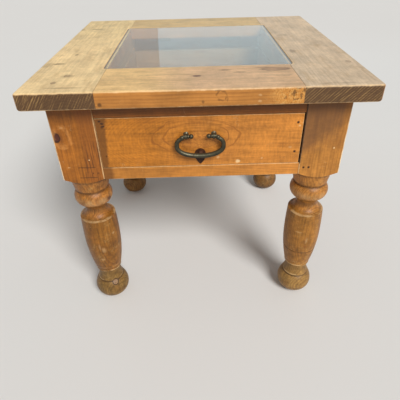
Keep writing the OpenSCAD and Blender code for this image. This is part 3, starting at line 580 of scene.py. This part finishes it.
class TABLE_OT_legs(PieceOperator, bpy.types.Operator):
    """Square posts and turnings in one piece, waxed, worn on the edges and grimy in the hollows,
    with painted shade and a painted highlight on the front posts
    """

    bl_idname = "table.legs"
    bl_label = "Legs"

    def make(self, tone):
        # Each leg: name, heart of the log, seed, tints for block, ring, body and foot, and knots.
        # The tints give the leg's own tone and painted shade that darkens the left post, the lower
        # parts and the back feet.
        for name, heart, seed, tints_and_shade, knots in (
            ("leg_front_left", (-312.0, -205.0), 41.0,
             ((0.61, 0.52, 0.37), (0.62, 0.62, 0.74), (0.44, 0.44, 0.36), (0.38, 0.53, 0.88)),
             ((498.0, -292.0, -306.0, 8.5, 1.15, 1.6, 1.0),
              (330.0, -214.0, -280.0, 3.6, 1.2, 1.5, 0.9))),
            ("leg_front_right", (215.0, -200.0), 47.0,
             ((0.84, 0.88, 1.05), (0.77, 0.8, 0.95), (0.6, 0.64, 0.66), (0.57, 0.79, 1.42)),
             ((300.0, 277.0, -296.0, 5.0, 1.2, 1.5, 0.35),)),
            ("leg_back_left", (-215.0, 320.0), 53.0,
             ((0.66, 0.62, 0.66), (0.68, 0.72, 0.95), (0.52, 0.54, 0.6), (0.46, 0.56, 0.9)),
             ((455.0, -262.0, 298.0, 7.0, 1.2, 1.6, 0.8),)),
            ("leg_back_right", (300.0, 200.0), 59.0,
             ((0.74, 0.74, 0.84), (0.68, 0.72, 0.95), (0.54, 0.58, 0.66), (0.34, 0.41, 0.66)), ()),
        ):
            wood = Timber("pine_" + name, "z", "x", heart, seed, ring=3.4, wobble=4.0,
                          knots=knots, lined=0.6 if name == "leg_front_right" else 1.0)
            self.leg(wood, tone, name, tints_and_shade)

    def leg(self, wood, tone, name, tints_and_shade):
        turned = wood.z.step(SQUARE_Z, ROUND_Z)
        colour = wood.wood(tone.frame_early, tone.frame_late, turned * 0.35 + 0.55)
        block, ring, body, foot = tints_and_shade
        tint = wood.blend(turned, block, ring)
        tint = wood.blend((wood.z + wood.lumps(20.0) * 3.0).step(286.0, 276.0), tint, body)
        tint = wood.blend(wood.z.step(112.0, 98.0), tint, foot)
        colour = wood.tinted(colour, tint)
        colour = wood.patina(colour, tone.red_wood, 0.4)
        colour = wood.add_knots(colour, tone.knot_core, tone.knot_rim)
        soiled = wood.lumps(38.0, 5.0, 0.65).step(0.0, 0.55) * turned
        colour = wood.blend(soiled * 0.4, colour, tone.dirt_and_shade)
        mottle = wood.lumps(13.0, 4.0, 0.7) * 0.65 + wood.grain * 0.4
        colour = wood.brighten(colour, mottle * (turned * 0.5 + 0.5) + 0.98)
        pores = wood.lumps(2.6, 2.0).step(0.32, 0.5) * turned
        colour = wood.blend(pores * 0.5, colour, tone.dirt_and_shade)
        dusty = wood.lumps(5.0, 4.0, 0.7) * 0.6 + wood.lumps(24.0, 3.0) * 0.5
        colour = wood.blend(dusty.step(0.02, 0.5) * turned * 0.32, colour, linear(214, 178, 112))
        colour = wood.brighten(colour, 1.0 - turned * 0.04)
        spun = wood.stretched((33.0, 33.0, 1.1), 3.0, 0.6)
        spun = spun.step(0.2, 0.6) * wood.z.step(ROUND_Z, ROUND_Z - 8.0)
        colour = wood.blend(spun * 0.3, colour, tone.dirt_and_shade)
        # Dark lines round the turning: dirt in its hollows, and painted shade under the block at
        # 385.
        grooves = [(353.0, 3.0, 0.6), (313.0, 4.0, 0.6), (65.0, 1.7, 0.75), (97.8, 1.6, 0.45),
                   (299.0, 9.0, 0.45), (385.0, 3.0, 0.4), (86.0, 12.0, 0.25)]
        if name == "leg_front_right":
            grooves.append((SCRIBED_Z, 1.2, 0.8))
        sway = wood.lumps(12.0, 3.0) * 0.8
        broken = wood.lumps(24.0, 2.0).step(-0.9, 0.1)
        colour = self.rings(wood, colour, tone.dirt_and_shade, grooves, 1.5, sway, broken)
        edges = [(275.2, 1.5, 0.42), (104.5, 1.2, 0.45), (69.5, 1.2, 0.4), (330.0, 9.0, 0.2),
                 (118.0, 1.0, 0.25)]
        sway = wood.lumps(10.0, 3.0) * 1.6
        broken = wood.lumps(22.0, 3.0).step(-0.25, 0.3)
        colour = self.rings(wood, colour, tone.worn, edges, 1.6, sway, broken)
        low, high = box_mm(name)
        under = SQUARE_Z - 12.0
        edge = wood.arris([*low[:2], under], high, 2.8) * wood.z.step(under, SQUARE_Z)
        colour = wood.blend(edge * 0.75, colour, tone.worn)
        colour = wood.scuffs(colour, tone.worn, 0.3)
        # Painted shadow of the top over the upper posts.
        shade = (wood.z + wood.lumps(30.0, 3.0) * 12.0).step(505.0, 560.0)
        colour = wood.blend(shade * 0.55, colour, tone.dirt_and_shade)
        for x in RAIL_BRADS[0]:
            colour = wood.brad_holes(colour, tone.knot_rim, x, POST_Y, RAIL_BRADS[1], 3.0)
        if "front" in name:
            # Painted highlight along the outer arris of the front posts.
            outer = (abs(wood.x) + wood.lumps(9.0, 3.0) * 1.4).step(295.6, 297.4)
            outer = outer * wood.lumps(24.0, 3.0).step(-0.3, 0.1) * wood.z.step(390.0, 400.0)
            outer = outer * wood.facing["y"].step(-0.25, -0.5)
            colour = wood.blend(outer * wood.z.step(540.0, 470.0) * 0.85, colour,
                                linear(250, 226, 186))
        if name == "leg_front_left":
            colour = self.left_marks(wood, tone, colour)
        if name == "leg_front_right":
            colour = self.right_marks(wood, tone, colour)
        rough = wood.cloud * 0.07 + wood.late * -0.04 + 0.44
        cover(wood.finish(colour, rough, wood.relief(0.09, 0.04)), name)

    def rings(self, wood, colour, tint, lines, spread, sway, broken):
        """Uneven lines round a turning: for each its height, its half width and its strength."""
        for height, half, amount in lines:
            line = abs(wood.z - height + sway).step(half * spread, half * 0.3) * broken
            colour = wood.blend(line * amount, colour, tint)
        return colour

    def left_marks(self, wood, tone, colour):
        """Red band and saw marks on the post, scars on the body and the plug in the foot."""
        front = wood.facing["y"].step(-0.6, -0.9) * wood.z.step(385.0, 395.0)
        band = abs(wood.x + 226.0 + wood.lumps(30.0, 4.0) * 9.0).step(23.0, 12.0) * front
        colour = wood.blend(band * 0.4, colour, tone.red_wood)
        grain = wood.drawn(70.0, 3.2).step(0.0, 0.26)
        grain = grain * band * wood.z.step(505.0, 460.0)
        colour = wood.blend(grain * 0.62, colour, tone.knot_rim)
        swirl = wood.reach((-280.0, POST_Y, 498.0), (17.0, 40.0, 22.0))
        swirl = swirl + wood.lumps(14.0, 3.0) * 0.3
        swirl = abs(swirl - 1.0).step(0.34, 0.1) * front * wood.lumps(16.0, 3.0).step(-0.3, 0.2)
        colour = wood.blend(swirl * 0.35, colour, linear(226, 156, 84))
        for height in (402.0, 427.0):
            nick = abs(wood.z - height + wood.lumps(9.0, 2.0)).step(1.8, 0.5) * front
            nick = nick * abs(wood.x + 242.0).step(20.0, 17.0)
            colour = wood.blend(nick * 0.6, colour, tone.dirt_and_shade)
        colour = wood.marks(colour, tone.worn, (
            ((-234.0, POST_Y, 445.0), (1.5, 3.0, 1.2), 0.8),
            ((-280.0, POST_Y, 428.0), (3.0, 3.0, 1.0), 0.4),
            ((-276.0, POST_Y, 519.0), (3.0, 3.0, 1.6), 0.15),
            ((-246.0, -303.0, 188.0), (5.0, 5.0, 8.0), 0.2),
            ((-220.0, -287.0, 231.0), (3.0, 4.0, 3.0), 0.25),
            ((-254.0, -304.0, 154.0), (5.0, 5.0, 4.0), 0.22),
            ((-254.0, -304.0, 199.0), (3.0, 4.0, 9.0), 0.15),
        ))
        beside = (wood.x + 235.0) * 0.88 + (wood.y + 297.0) * 0.475
        plug = wood.length(beside, wood.z - 63.0) + wood.lumps(5.0, 2.0) * 0.8
        near = wood.facing["y"].step(-0.2, -0.4)
        face = wood.lumps(4.0, 3.0).step(-0.2, 0.5) * 0.5
        face = wood.blend(face, linear(170, 132, 98), tone.dirt_and_shade)
        colour = wood.blend(plug.step(7.0, 6.0) * near * 0.5, colour, face)
        ring = abs(plug - 7.7).step(1.5, 0.5) * near
        return wood.blend(ring * 0.9, colour, tone.knot_rim)

    def right_marks(self, wood, tone, colour):
        """Painted shadow of the top over the upper part of the post, and marks on the body."""
        # Painted shadow of the top: a soft diagonal over the upper post, and darker ragged patches
        # towards the top.
        cloudy = wood.lumps(30.0, 5.0, 0.65)
        slope = wood.x * 0.55 - wood.z * 0.62 + 160.0 + cloudy * 34.0
        front = wood.facing["y"].step(-0.6, -0.9) * wood.z.step(385.0, 400.0)
        dark = slope.step(24.0, -20.0) * front * (wood.x + cloudy * 8.0).step(290.0, 280.0)
        colour = wood.blend(dark * 0.68, colour, linear(106, 72, 46))
        dull = (wood.lumps(22.0, 5.0, 0.65) * 0.8 + 0.5).step(0.1, 0.9) * front
        colour = wood.blend(dull * wood.z.step(440.0, 480.0) * 0.35, colour, linear(106, 72, 46))
        specks = wood.lumps(3.2, 2.0).step(0.42, 0.56) * front
        colour = wood.blend(specks * 0.45, colour, tone.dirt_and_shade)
        beside = (wood.x + wood.lumps(12.0, 2.0) * 0.6).step(212.0, 210.8)
        beside = beside * wood.z.step(420.0, 426.0)
        colour = wood.blend(beside * 0.9, colour, tone.knot_rim)
        colour = wood.marks(colour, tone.worn, (
            ((277.0, -296.0, 292.0), (6.0, 8.0, 5.0), 0.7),
            ((256.0, -303.0, 201.0), (3.0, 4.0, 10.0), 0.25),
            ((239.0, -300.0, 226.0), (12.0, 4.0, 2.0), 0.2),
            ((278.0, POST_Y, 458.0), (1.5, 3.0, 1.8), 0.8),
        ))
        return wood.marks(colour, tone.red_wood, (
            ((257.0, -303.0, 181.0), (4.0, 4.0, 4.0), 0.5),
            ((260.0, -303.0, 140.0), (3.0, 4.0, 5.0), 0.5),
        ))


class TABLE_OT_case(PieceOperator, bpy.types.Operator):
    """Aprons and the two drawer rails, waxed and worn on the arrises, with painted shadow on the
    upper rail and at the left end of the lower one
    """

    bl_idname = "table.case"
    bl_label = "Aprons and rails"

    def make(self, tone):
        for name, along, face, heart, seed, ring, tint in (
            ("apron_left", "y", "z", (470.0, -215.0), 61.0, 4.5, (0.8, 0.78, 0.8)),
            ("apron_right", "y", "z", (500.0, 225.0), 67.0, 4.5, (0.86, 0.84, 0.86)),
            ("apron_back", "x", "z", (490.0, 230.0), 71.0, 5.0, (0.8, 0.78, 0.8)),
            # The upper rail's dark tint is partly painted shadow of the top.
            ("drawer_rail_top", "x", "z", (600.0, -270.0), 73.0, 3.6, (0.38, 0.32, 0.3)),
            ("drawer_rail_low", "x", "z", (330.0, -280.0), 79.0, 3.6, None),
        ):
            wood = Timber("pine_" + name, along, face, heart, seed, ring=ring, wobble=4.0)
            if tint is None:
                lit = (wood.x + wood.lumps(70.0, 3.0) * 50.0).step(-170.0, 190.0)
                tint = wood.blend(lit, (0.8, 0.79, 0.84), (1.06, 1.06, 1.25))
            colour = wood.wood(tone.frame_early, tone.frame_late, 0.6, tint)
            colour = wood.patina(colour, tone.red_wood, 0.35)
            colour = wood.scuffs(colour, tone.worn, 0.3)
            bare = 0.1 if name == "drawer_rail_top" else 0.65
            colour = wood.blend(wood.arris(*box_mm(name), 1.4) * bare, colour, tone.worn)
            # Painted shadow of the left post at the left end of the lower rail.
            if name == "drawer_rail_low":
                dark = (wood.x + wood.lumps(10.0, 3.0) * 3.0).step(-184.0, -194.0)
                colour = wood.blend(dark * 0.72, colour, linear(102, 60, 22))
            # Painted shadow of the top, darker towards the rail's upper edge.
            if name == "drawer_rail_top":
                colour = wood.blend(wood.z.step(538.0, 560.0) * 0.5, colour, tone.dirt_and_shade)
            rough = wood.cloud * 0.07 + 0.44
            cover(wood.finish(colour, rough, wood.relief(0.09, 0.04)), name)


class TABLE_OT_drawer_front(PieceOperator, bpy.types.Operator):
    """Drawer front with arched grain round the handle, a painted shadow of the left post at its
    left end, and chips
    """

    bl_idname = "table.drawer_front"
    bl_label = "Drawer front"

    def make(self, tone):
        wood = Timber("pine_drawer_front", "x", "z", (488.0, -262.0), 83.0, ring=3.9,
                      bend=(-6.0, 330.0), wobble=11.0, curly=0.35)
        lit = (wood.x + wood.lumps(70.0, 3.0) * 50.0).step(-130.0, 50.0)
        tint = wood.blend(lit, (0.79, 0.71, 0.46), (0.96, 0.93, 1.0))
        calm = 0.48 - wood.x.step(20.0, 80.0) * 0.28
        colour = wood.wood(tone.frame_early, tone.frame_late, calm, tint)
        for centre, wide, high, start in ((-6.0, 92.0, 40.0, -60.0), (-6.0, 70.0, 30.0, -44.0),
                                          (-2.0, 60.0, 26.0, 40.0), (2.0, 76.0, 34.0, 52.0)):
            arc = wood.reach((centre, DRAWER_Y, 492.0), (wide, 40.0, high))
            arc = abs(arc - 1.0 + wood.lumps(26.0, 3.0) * 0.14) * wide
            side = wood.x.step(start * 0.6, start * 1.3)
            side = side * wood.lumps(30.0, 2.0).step(-0.5, 0.0)
            colour = wood.blend(arc.step(2.8, 0.6) * side * 0.5, colour, tone.frame_late)
        ripple = wood.drawn(11.0, 3.3, 3.0, 0.6).step(0.1, 0.5)
        ripple = ripple * wood.spot((-100.0, DRAWER_Y, 482.0), (60.0, 20.0, 44.0), 0.5, 0.3, 30.0)
        colour = wood.blend(ripple * 0.3, colour, tone.red_wood)
        colour = wood.patina(colour, tone.red_wood, 0.3)
        swirl = abs(wood.stretched((14.0, 14.0, 9.0), 3.0)).step(0.12, 0.02)
        swirl = swirl * wood.spot((-2.0, DRAWER_Y, 480.0), (46.0, 20.0, 24.0), 0.5, 0.4, 16.0)
        colour = wood.blend(swirl * 0.45, colour, tone.red_wood)
        colour = wood.marks(colour, tone.red_wood, (
            ((50.0, DRAWER_Y, 458.0), (30.0, 8.0, 18.0), 0.22),
            ((-26.0, DRAWER_Y, 471.0), (16.0, 8.0, 10.0), 0.22),
            ((-4.0, DRAWER_Y, 440.0), (44.0, 8.0, 9.0), 0.22),
        ), 0.6, 0.6, 20.0)
        # Painted shadow of the left post over the left end of the front.
        side = wood.x + wood.lumps(16.0, 5.0, 0.7) * 6.5 - (wood.z - 480.0) * 0.07
        colour = wood.blend(side.step(-189.0, -195.0) * 0.78, colour, linear(102, 62, 24))
        colour = wood.marks(colour, tone.knot_rim, (
            ((-199.0, DRAWER_Y, 530.0), (3.0, 3.0, 2.0), 0.85),
            ((-194.5, DRAWER_Y, 525.0), (3.5, 3.0, 1.8), 0.85),
            ((-193.0, DRAWER_Y, 519.0), (3.0, 3.0, 1.6), 0.85),
        ), 0.4, 0.8, 4.0)
        colour = wood.scuffs(colour, tone.worn, 0.3)
        edge = wood.arris(*box_mm("drawer_front"), 1.2)
        colour = wood.blend(edge * 0.65, colour, tone.worn)
        for z in DRAWER_BRADS[1]:
            colour = wood.brad_holes(colour, tone.knot_rim, DRAWER_BRADS[0], DRAWER_Y, z, 3.2)
        colour = wood.marks(colour, tone.worn, (
            ((36.0, DRAWER_Y, 443.0), (3.5, 3.0, 2.8), 0.35),
            ((78.0, DRAWER_Y, 432.0), (4.5, 3.0, 3.6), 0.8),
            ((129.0, DRAWER_Y, 438.0), (2.5, 3.0, 2.0), 0.35),
            ((186.0, DRAWER_Y, 462.0), (3.0, 3.0, 2.4), 0.2),
            ((200.0, DRAWER_Y, 510.0), (2.5, 3.0, 2.0), 0.45),
        ), 0.45, 0.7)
        rough = wood.cloud * 0.07 + 0.42
        cover(wood.finish(colour, rough, wood.relief(0.09, 0.04)), "drawer_front")


class TABLE_OT_inside(PieceOperator, bpy.types.Operator):
    """Unwaxed wood of the drawer box and of the strips and blocks inside"""

    bl_idname = "table.inside"
    bl_label = "Drawer box and inner strips"

    def make(self, tone):
        for label, along, face, heart, seed, names in (
            ("sides", "y", "z", (480.0, -150.0), 89.0, ("drawer_side_left", "drawer_side_right")),
            ("back", "x", "z", (480.0, 190.0), 97.0, ("drawer_back", "drawer_stops")),
            ("bottom", "x", "y", (-20.0, 380.0), 101.0, ("drawer_bottom",)),
            ("strips", "y", "x", (120.0, 480.0), 103.0, (
                "kicker_left", "kicker_right", "runner_left", "runner_right",
                "guide_left", "guide_right")),
            ("blocks", "x", "y", (0.0, 500.0), 107.0, ("glue_blocks", "top_dowels")),
        ):
            wood = Timber("pine_inside_" + label, along, face, heart, seed, ring=5.0, wobble=6.0)
            colour = wood.wood(tone.raw_early, tone.raw_late, 0.6)
            colour = wood.patina(colour, tone.raw_late, 0.4)
            colour = wood.blend(wood.end * 0.4, colour, tone.raw_late)
            dust = wood.lumps(45.0, 3.0).step(0.1, 0.8) * 0.3
            colour = wood.blend(dust, colour, tone.end_dark)
            cover(wood.finish(colour, wood.cloud * 0.05 + 0.65, wood.relief(0.05, 0.07)), *names)


class TABLE_OT_handle(PieceOperator, bpy.types.Operator):
    """Forged iron of the handle, browned in the hollows, with painted light from above and the
    bail's painted shadow on the plate
    """

    bl_idname = "table.handle"
    bl_label = "Handle"

    def make(self, tone):
        iron = Paint("forged_iron", 5.0)
        hammered = iron.lumps(5.5, 2.0)
        brown = iron.lumps(11.0, 3.0).step(0.0, 0.7)
        colour = iron.blend(brown * 0.6, tone.iron, tone.rust)
        # Painted light: upward faces lightened and downward faces darkened.
        upper = (iron.facing["z"] + iron.lumps(6.0, 3.0) * 0.8).step(-0.4, 0.9)
        colour = iron.brighten(colour, upper * 0.6 + 0.5)
        rough = brown * 0.2 + hammered * 0.06 + 0.4
        relief = hammered * 0.22 + iron.lumps(1.4, 2.0) * 0.05
        cover(iron.finish(colour, rough, relief, **{"Metallic": 0.65, "Specular IOR Level": 0.5}),
              "bail", "eye_post_left", "eye_post_right")
        plate = Paint("browned_iron", 8.0)
        brown = plate.lumps(7.0, 3.0).step(-0.5, 0.4)
        colour = plate.blend(brown * 0.8, tone.knot_rim, tone.rust)
        # Painted shadow of the bail over the lower part of the plate.
        colour = plate.blend(plate.z.step(457.0, 445.0) * 0.6, colour, linear(30, 20, 16))
        relief = plate.lumps(5.0, 2.0) * 0.15 + plate.lumps(1.4, 2.0) * 0.05
        cover(plate.finish(colour, brown * 0.15 + 0.55, relief, Metallic=0.3),
              "striking_plate", "striking_stud")


class TABLE_OT_fixings(PieceOperator, bpy.types.Operator):
    """Dull steel of the brads, screws, washers and nuts"""

    bl_idname = "table.fixings"
    bl_label = "Brads, screws and nuts"

    def make(self, tone):
        for label, light, metallic, names in (
            ("dull_steel", linear(118, 112, 104), 0.8,
             ("top_screws", "runner_screws", "eye_washers", "eye_nuts")),
            ("rusted_steel", tone.knot_rim, 0.3, ("rail_brads", "drawer_brads")),
        ):
            steel = Paint(label, 9.0)
            brown = steel.lumps(2.5, 3.0).step(-0.1, 0.6)
            colour = steel.blend(brown * 0.8, light, tone.rust)
            waxed = steel.x.step(-150.0, -200.0) * steel.y.step(-290.0, -300.0)
            colour = steel.blend(waxed * 0.7, colour, linear(112, 68, 32))
            made = steel.finish(colour, brown * 0.3 + 0.38, steel.lumps(1.2, 2.0) * 0.05,
                                Metallic=metallic)
            cover(made, *names)


class TABLE_OT_glass(PieceOperator, bpy.types.Operator):
    """Clear glass with a slight green edge and a little dust"""

    bl_idname = "table.glass"
    bl_label = "Glass"

    def make(self, tone):
        glass = Paint("clear_glass", 2.0)
        dust = glass.lumps(30.0, 4.0).step(0.25, 0.9)
        edge = abs(glass.facing["z"]).step(0.8, 0.3)
        colour = glass.blend(edge * 0.9, (0.78, 0.86, 0.84), (0.1, 0.17, 0.14))
        rough = dust * 0.03
        made = glass.finish(colour, rough, glass.lumps(120.0, 1.0) * 0.02,
                            **{"Transmission Weight": 1.0, "IOR": 1.5,
                               "Specular IOR Level": 0.5})
        cover(made, "glass_panel")
        NODES["glass_panel"].visible_shadow = False
        NODES["glass_panel"].visible_diffuse = False


class TABLE_OT_stage(bpy.types.Operator):
    """Plain floor, soft lamps and the camera"""

    bl_idname = "table.stage"
    bl_label = "Studio"
    bl_options = {"REGISTER", "UNDO"}

    def execute(self, context):
        setting = context.scene.studio_setting
        self.floor(context, setting)
        self.lamps(context, setting)
        self.camera(context, setting)
        context.scene.view_settings.view_transform = "Standard"
        return {"FINISHED"}

    def floor(self, context, setting):
        half = 12.0
        mesh = bpy.data.meshes.new("studio_floor")
        mesh.from_pydata(
            [(-half, -half, 0.0), (half, -half, 0.0), (half, half, 0.0), (-half, half, 0.0)],
            [], [(0, 1, 2, 3)],
        )
        floor = bpy.data.objects.new("studio_floor", mesh)
        context.collection.objects.link(floor)
        paint = Paint("studio_floor")
        tone = paint.brighten(tuple(setting.floor), paint.lumps(900.0, 2.0) * 0.012 + 1.0)
        floor.data.materials.append(paint.finish(tone, 0.85))

    def lamps(self, context, setting):
        sun = bpy.data.lights.new("key_lamp", "SUN")
        sun.energy = setting.key
        sun.angle = math.radians(24.0)
        key = bpy.data.objects.new("key_lamp", sun)
        key.rotation_euler = (math.radians(46.0), math.radians(17.0), math.radians(12.0))
        context.collection.objects.link(key)
        area = bpy.data.lights.new("back_panel", "AREA")
        area.shape = "RECTANGLE"
        area.size, area.size_y = 1.55, 1.3
        area.energy = setting.panel
        area.color = (0.5, 0.84, 1.0)
        panel = bpy.data.objects.new("back_panel", area)
        panel.location = (0.45, 2.5, 1.55)
        panel.rotation_euler = (math.radians(-75.0), 0.0, 0.0)
        panel.visible_camera = False
        context.collection.objects.link(panel)
        world = bpy.data.worlds.new("studio_world")
        context.scene.world = world
        world.use_nodes = True
        self.sky(world.node_tree, setting)

    def sky(self, tree, setting):
        """White light all round, and the floor's colour where the sky is seen or mirrored."""
        tree.nodes.clear()
        ray = tree.nodes.new("ShaderNodeLightPath")
        made = self.background(tree, (1.0, 1.0, 1.0), setting.fill)
        seen = self.background(tree, tuple(setting.floor), 0.94)
        for kind in ("Is Camera Ray", "Is Glossy Ray", "Is Transmission Ray"):
            either = tree.nodes.new("ShaderNodeMixShader")
            tree.links.new(ray.outputs[kind], either.inputs[0])
            tree.links.new(made.outputs[0], either.inputs[1])
            tree.links.new(seen.outputs[0], either.inputs[2])
            made = either
        output = tree.nodes.new("ShaderNodeOutputWorld")
        tree.links.new(made.outputs[0], output.inputs["Surface"])

    def background(self, tree, colour, strength):
        made = tree.nodes.new("ShaderNodeBackground")
        made.inputs["Color"].default_value = (*colour, 1.0)
        made.inputs["Strength"].default_value = strength
        return made

    def camera(self, context, setting):
        data = bpy.data.cameras.new("camera")
        data.lens = setting.lens
        camera = bpy.data.objects.new("camera", data)
        camera.location = (-0.0079, -1.0107, 0.8348)
        camera.rotation_euler = [math.radians(a) for a in (54.61, 1.169, -1.152)]
        context.collection.objects.link(camera)
        context.scene.camera = camera


PIECES = (TABLE_OT_top_boards, TABLE_OT_legs, TABLE_OT_case, TABLE_OT_drawer_front,
          TABLE_OT_inside, TABLE_OT_handle, TABLE_OT_fixings, TABLE_OT_glass, TABLE_OT_stage)


class TABLE_PT_sidebar(bpy.types.Panel):
    """Lists the table's pieces and its studio"""

    bl_label = "Side table"
    bl_idname = "TABLE_PT_sidebar"
    bl_space_type = "VIEW_3D"
    bl_region_type = "UI"
    bl_category = "Side table"

    def draw(self, context):
        for piece in PIECES:
            self.layout.operator(piece.bl_idname)
        for group in (context.scene.table_finish, context.scene.studio_setting):
            column = self.layout.column()
            for key in group.__annotations__:
                column.prop(group, key)


CLASSES = (TableFinish, StudioSetting, *PIECES, TABLE_PT_sidebar)


def register():
    for made in CLASSES:
        bpy.utils.register_class(made)
    bpy.types.Scene.table_finish = PointerProperty(type=TableFinish)
    bpy.types.Scene.studio_setting = PointerProperty(type=StudioSetting)


def unregister():
    del bpy.types.Scene.studio_setting
    del bpy.types.Scene.table_finish
    for made in reversed(CLASSES):
        bpy.utils.unregister_class(made)


def main():
    register()
    for piece in PIECES:
        group, name = piece.bl_idname.split(".")
        getattr(getattr(bpy.ops, group), name)()


if __name__ == "__main__":
    main()
